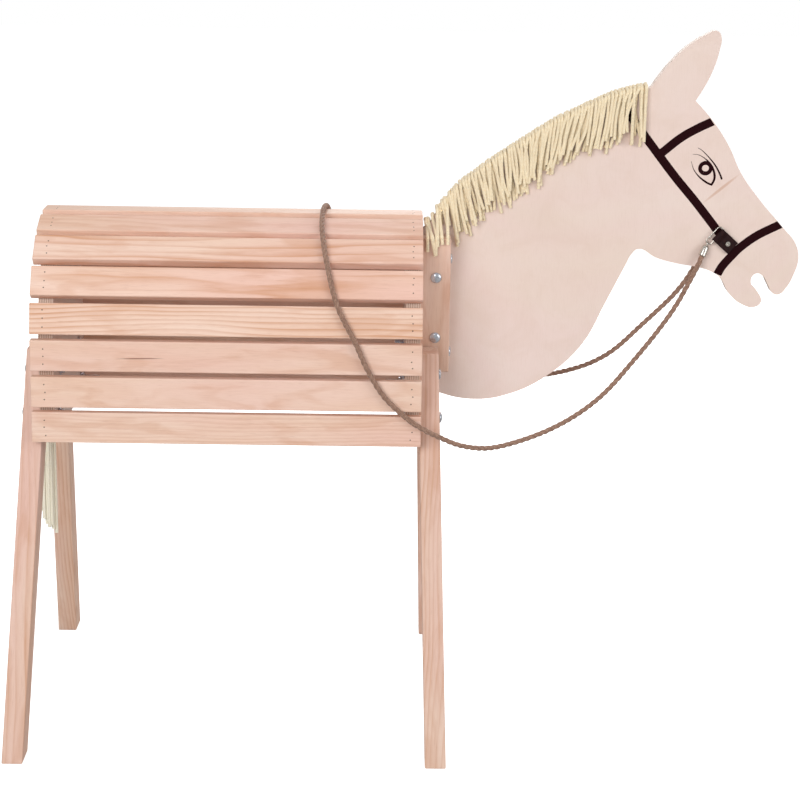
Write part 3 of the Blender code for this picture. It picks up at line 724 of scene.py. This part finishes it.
def make_halter_print():
    width = 0.0125
    strokes = [
        # cheekpiece, browband and noseband
        (
            [(0.3060, 0.9230), (0.3449, 0.8725), (0.3875, 0.8190), (0.4230, 0.7780), (0.4700, 0.7200)],
            None,
            None,
        ),
        (
            [(0.3660, 0.8520), (0.3930, 0.8745), (0.4160, 0.8885), (0.4393, 0.9000)],
            (0.638, -0.770),
            (0.58, -0.81),
        ),
        (
            [
                (0.4584, 0.6727),
                (0.4649, 0.6849),
                (0.4775, 0.7002),
                (0.4916, 0.7149),
                (0.5150, 0.7324),
                (0.5476, 0.7492),
            ],
            (0.93, -0.37),
            (0.67, -0.74),
        ),
    ]
    inked = Solids()
    for i, (line, start_cut, end_cut) in enumerate(strokes):
        add_print(inked, *ribbon(line, [width, width], start_cut, end_cut), PRINT_RISE + 0.00002 * i)
    ride(inked.piece("halter_print", halter_ink, smooth=False), "birch_plywood")


def make_eye_print():
    brow = [
        (0.4198, 0.8612),
        (0.4270, 0.8570),
        (0.4383, 0.8459),
        (0.4475, 0.8348),
        (0.4548, 0.8220),
        (0.4576, 0.8150),
    ]
    upper_lid = [
        (0.4128, 0.8517),
        (0.4225, 0.8505),
        (0.4330, 0.8442),
        (0.4416, 0.8347),
        (0.4462, 0.8235),
        (0.4465, 0.8150),
        (0.4430, 0.8072),
    ]
    lower_lid = [(0.4112, 0.8412), (0.4155, 0.8289), (0.4247, 0.8178), (0.4370, 0.8092), (0.4440, 0.8068)]
    inked = Solids()
    add_print(inked, *ribbon(brow, [0.0005, 0.0015, 0.0024, 0.0027]), PRINT_RISE)
    add_print(inked, *ribbon(upper_lid, [0.0004, 0.0010, 0.0030, 0.0034, 0.0032]), PRINT_RISE + 0.00002)
    add_print(inked, *ribbon(lower_lid, [0.0004, 0.0012, 0.0026, 0.0030]), PRINT_RISE + 0.00004)
    centre = Vector((0.4326, 0, 0.8313))
    turns = [math.radians(360 * i / 48) for i in range(49)]
    outer = [centre + 0.0107 * Vector((math.cos(a), 0, math.sin(a))) for a in turns]
    inner = [centre + Vector((0.0052 * math.cos(a), 0, 0.0048 * math.sin(a))) for a in turns]
    add_print(inked, outer, inner, PRINT_RISE + 0.00006)
    ride(inked.piece("eye_print", halter_ink, smooth=False), "birch_plywood")


# Yarn


def crest_point(share):
    """A point on the crest from the ear (0) to the withers (1), with the crest's outward normal."""
    points = [Vector((x, 0, z)) for x, z in CREST]
    lengths = [(b - a).length for a, b in zip(points, points[1:])]
    left = share * sum(lengths)
    for start, end, length in zip(points, points[1:], lengths):
        if left <= length or end == points[-1]:
            along = (end - start).normalized()
            return start + along * min(left, length), Vector((along.z, 0, -along.x))
        left -= length


def hem_drop(share):
    """How far the yarn hangs below the crest: long at the ear, shorter over the middle of the neck."""
    marks = [
        (0.0, 0.078),
        (0.12, 0.076),
        (0.30, 0.070),
        (0.45, 0.074),
        (0.58, 0.070),
        (0.75, 0.061),
        (1.0, 0.070),
    ]
    for (a, low), (b, high) in zip(marks, marks[1:]):
        if share <= b:
            return low + (high - low) * (share - a) / (b - a)


def mane_lean(x):
    """How far the strands lean forwards: a little back near the ear, fanned forwards low on the neck."""
    if x > 0.17:
        return -0.10 - 0.10 * math.sin(31 * x)
    return 0.04 + 0.22 * math.sin((x - 0.02) / 0.15 * math.pi)


def mane_side(crest, outward, side, draw, layer, drop):
    """One side of a strand, from over the crest down to its tip."""
    lift = FACE_Y + STRAND_RADIUS * (1.1 + 1.2 * layer)
    lean = mane_lean(crest.x) + draw.gauss(0, 0.06)
    if draw.random() < 0.06:
        lean += draw.gauss(0, 0.25)
    curl = draw.gauss(0, 0.0022)
    over_block = crest.x < BLOCK_HIGH.x - 0.002
    top = crest + outward * STRAND_RADIUS * (1.1 + 1.0 * layer)
    points = [top + Vector((draw.gauss(0, 0.0008), side * 0.55 * FACE_Y, -0.0002))]
    points.append(Vector((top.x, side * (lift - 0.0010), top.z - 0.0035)))
    steps = 5
    for i in range(1, steps + 1):
        t = i / steps
        sway = lean * t + curl / max(drop, 0.01) * math.sin(math.pi * t)
        y = lift + 0.004 * layer * t + draw.gauss(0, 0.0006)
        points.append(Vector((top.x + sway * drop, side * y, top.z - 0.0035 - drop * t)))
    if over_block:
        points = drape_over_block(points, side, draw)
    return points


def drape_over_block(points, side, draw):
    """A strand that would run into a neck block slants over the block's edge and hangs down beyond it."""
    start = points[1]
    rest = BLOCK_HIGH.z + STRAND_RADIUS + 0.0006
    outer = BLOCK_HIGH.y + STRAND_RADIUS + 0.0010
    total = sum((b - a).length for a, b in zip(points, points[1:]))
    slant = math.hypot(start.z - rest, outer - abs(start.y))
    hang = total - slant
    if hang < 0.006:
        return [point for point in points if point.z > rest + 0.002 or point == start]
    x = max(start.x, BARREL_FRONT + draw.uniform(0.004, 0.010)) + draw.uniform(0.0, 0.006)
    drift = draw.uniform(-0.05, 0.30)
    path = points[:2]
    for share in (0.35, 0.7):
        y = abs(start.y) + (outer - abs(start.y)) * share**1.5
        path.append(Vector((start.x + (x - start.x) * share, side * y, start.z + (rest - start.z) * share)))
    for share in (0.0, 0.3, 0.65, 1.0):
        path.append(Vector((x + drift * hang * share, side * outer, rest - 0.001 - hang * share)))
    return path


def make_mane():
    """Strands of thick yarn laid over the crest in two layers, hanging down both faces of the head."""
    draw = random.Random(11)
    mane = Solids()
    for layer, count in ((0, 84), (1, 72)):
        for i in range(count):
            share = min(1.0, max(0.0, (i + 0.5 + draw.uniform(-0.15, 0.15)) / count))
            crest, outward = crest_point(share)
            thin = draw.random()
            if crest.x < BLOCK_HIGH.x and thin < (0.65 if layer else 0.40):
                continue
            drop = hem_drop(share) * draw.uniform(0.80, 1.10) * (0.97 if layer else 1.0)
            right = mane_side(crest, outward, -1, draw, layer, drop)
            left = mane_side(crest, outward, 1, draw, layer, drop * draw.uniform(0.9, 1.1))
            top = crest + outward * STRAND_RADIUS * (1.3 + 1.1 * layer)
            path = smooth_path([*reversed(right), top, *left], 0.0022)
            mane.add(*swept(path, STRAND_RADIUS, phase=draw.uniform(0, 6), **YARN_LAY))
    ride(mane.piece("mane_yarn", yarn), "yarn", "mane")


def make_tail():
    """A hank of the same yarn, knotted inside the former and hanging out through its hole."""
    draw = random.Random(23)
    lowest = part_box("tail")[0].z
    former_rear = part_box("former_rear")[0].x
    hole_z = TAIL_HOLE_Z
    tail = Solids()
    golden = math.pi * (3 - math.sqrt(5))
    count = 36
    for i in range(count):
        spread = math.sqrt((i + 0.5) / count)
        angle = i * golden
        in_hole = Vector((0, math.cos(angle), math.sin(angle))) * spread * 0.0058
        hang = Vector((math.cos(angle) * 0.75, math.sin(angle), 0)) * spread
        x = former_rear - 0.0170
        # The hem rises to the rear
        bottom = lowest + 0.004 + 0.024 * (1 - hang.x / 0.75) + draw.uniform(0, 0.012)
        sway = Vector((draw.gauss(0, 0.0012), draw.gauss(0, 0.002), 0))
        route = [
            Vector((former_rear + 0.050, 0, hole_z)) + in_hole * 0.5,
            Vector((former_rear + 0.020, 0, hole_z)) + in_hole,
            Vector((former_rear - 0.002, 0, hole_z)) + in_hole,
            Vector((former_rear - 0.012, 0, hole_z - 0.010)) + in_hole * 1.2 + hang * 0.001,
            Vector((x, 0, hole_z - 0.045)) + hang * 0.011,
            Vector((x, 0, hole_z - 0.110)) + hang * 0.0145,
            Vector((x, 0, hole_z - 0.190)) + hang * 0.0145 + sway * 0.6,
            Vector((x, 0, (hole_z - 0.190 + bottom) / 2)) + hang * 0.0140 + sway,
            Vector((x, 0, bottom)) + hang * 0.0135 + sway * 1.3,
        ]
        path = smooth_path(route, 0.0026)
        tail.add(*swept(path, STRAND_RADIUS, phase=draw.uniform(0, 6), **YARN_LAY))
    knot = smooth_path([tail_knot_point(former_rear, hole_z, i / 26) for i in range(27)], 0.003)
    tail.add(*swept(knot, 0.0042, 10, lobes=3, depth=0.2, pitch=0.016))
    # The tail wears the lighter copy of the yarn: painted light
    ride(tail.piece("tail_yarn", tail_yarn), "yarn", "tail")


def tail_knot_point(x, z, share):
    """An overhand knot's turns just inside the former."""
    angle = 4 * math.pi * share
    ring = 0.0075 + 0.0015 * math.cos(1.5 * angle)
    return Vector((x + 0.0290 + 0.011 * share, ring * math.cos(angle), z + ring * math.sin(angle)))


# Metal


def bolt_shape(length):
    """A carriage bolt: shallow dome with a rounded rim, plain shank and rolled thread."""
    rim = 0.008
    angles = [math.radians(90 * i / 10) for i in range(11)]
    dome = [(rim * math.sin(a), 0.0005 + 0.0030 * math.cos(a)) for a in angles]
    profile = [*dome, (rim, 0.0002), (rim - 0.0003, 0), (0.003, 0)]
    turns = int(THREAD_LENGTH / THREAD_PITCH)
    start = length - THREAD_LENGTH
    for i in range(turns):
        profile.append((0.0029, -(start + THREAD_PITCH * i)))
        profile.append((0.0025, -(start + THREAD_PITCH * (i + 0.5))))
    profile += [(0.0024, -length), (0, -length)]
    return lathe(profile, 28)


def nut_shape():
    """A plain washer and a chamfered hexagon nut, standing on the washer's face."""
    rounded = [(0.0087, 0.0016), (0.009, 0.0013), (0.009, 0.0003), (0.0087, 0)]
    washer = lathe([(0, 0.0016), *rounded, (0, 0)], 28)
    points, faces = [], []
    heights = ((0.0016, 0.92), (0.0021, 1.0), (0.0061, 1.0), (0.0066, 0.90))
    for height, share in heights:
        for j in range(6):
            angle = math.radians(60 * j)
            corner = NUT_RADIUS * share
            points.append((corner * math.cos(angle), corner * math.sin(angle), height))
    for i in range(len(heights) - 1):
        for j in range(6):
            k = (j + 1) % 6
            faces.append((6 * i + j, 6 * i + k, 6 * i + 6 + k, 6 * i + 6 + j))
    faces += [tuple(reversed(range(6))), tuple(range(18, 24))]
    return washer, (np.array(points), faces)


def bolt_frame(name):
    """The frame under a bolt's head, +Z out of the head, and the bolt's length."""
    low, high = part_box(name)
    centre = (low + high) / 2
    axis = 1 if "cross" in name else 0
    sign = -1 if name.startswith("leg_bolt_rear") or "cross" in name else 1
    out = Vector((0, 0, 0))
    out[axis] = sign
    end = high[axis] if sign > 0 else low[axis]
    head = centre.copy()
    head[axis] = end - sign * BOLT_HEAD
    return head, out, high[axis] - low[axis] - BOLT_HEAD


def make_fasteners():
    washer, hexagon = nut_shape()
    former_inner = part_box("former_front")[0].x - 0.0003
    block_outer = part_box("neck_block_left")[1].y + 0.0003
    for name in sorted(nodes):
        if name.startswith("leg_nut_"):
            low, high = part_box(name)
            centre = (low + high) / 2
            inward = 1 if "rear" in name else -1
            seat = Vector((low.x if inward > 0 else high.x, centre.y, centre.z))
            nut = Solids()
            nut.add(*moved(washer, aimed(seat, (inward, 0, 0))))
            nut.add(*moved(hexagon, aimed(seat, (inward, 0, 0))))
            ride(nut.piece(f"{name}_bright", zinc), "zinc_plate", name)
        elif "_bolt_" in name:
            head, out, length = bolt_frame(name)
            bolt = Solids()
            bolt.add(*moved(bolt_shape(length), aimed(head, out)))
            if name.startswith("neck_"):
                seat = head.copy()
                if "cross" in name:
                    seat.y = block_outer
                else:
                    seat.x = former_inner
                bolt.add(*moved(washer, aimed(seat, -out)))
                bolt.add(*moved(hexagon, aimed(seat, -out)))
            ride(bolt.piece(f"{name}_bright", zinc), "zinc_plate", name)


def refine(name, material, rim=0.0):
    """A CAD fitting with its own metal, facets rounded off. A rim this wide keeps its sharp edges."""
    paint(name, material)
    weld = nodes[name].modifiers.new("weld", "WELD")
    weld.merge_threshold = 0.00001
    if rim:
        edges = nodes[name].modifiers.new("rim", "BEVEL")
        edges.width = rim
        edges.segments = 2
        edges.limit_method = "ANGLE"
        edges.angle_limit = math.radians(35)
    rounded = nodes[name].modifiers.new("rounded", "SUBSURF")
    rounded.levels = 2
    rounded.render_levels = 2


def make_fittings():
    for word in SIDES:
        paint(f"strap_loop_{word}", strap_leather)
        refine(f"strap_rivet_{word}", nickel, rim=0.0002)
        paint(f"snap_gate_{word}", nickel)
        refine(f"rein_ferrule_{word}", nickel, rim=0.0003)
        refine(f"snap_hook_{word}", nickel)


make_camera()
make_studio()
make_rein()
paint_slats()
make_nails()
paint_legs()
paint_boards()
make_halter_print()
make_eye_print()
make_mane()
make_tail()
make_fasteners()
make_fittings()
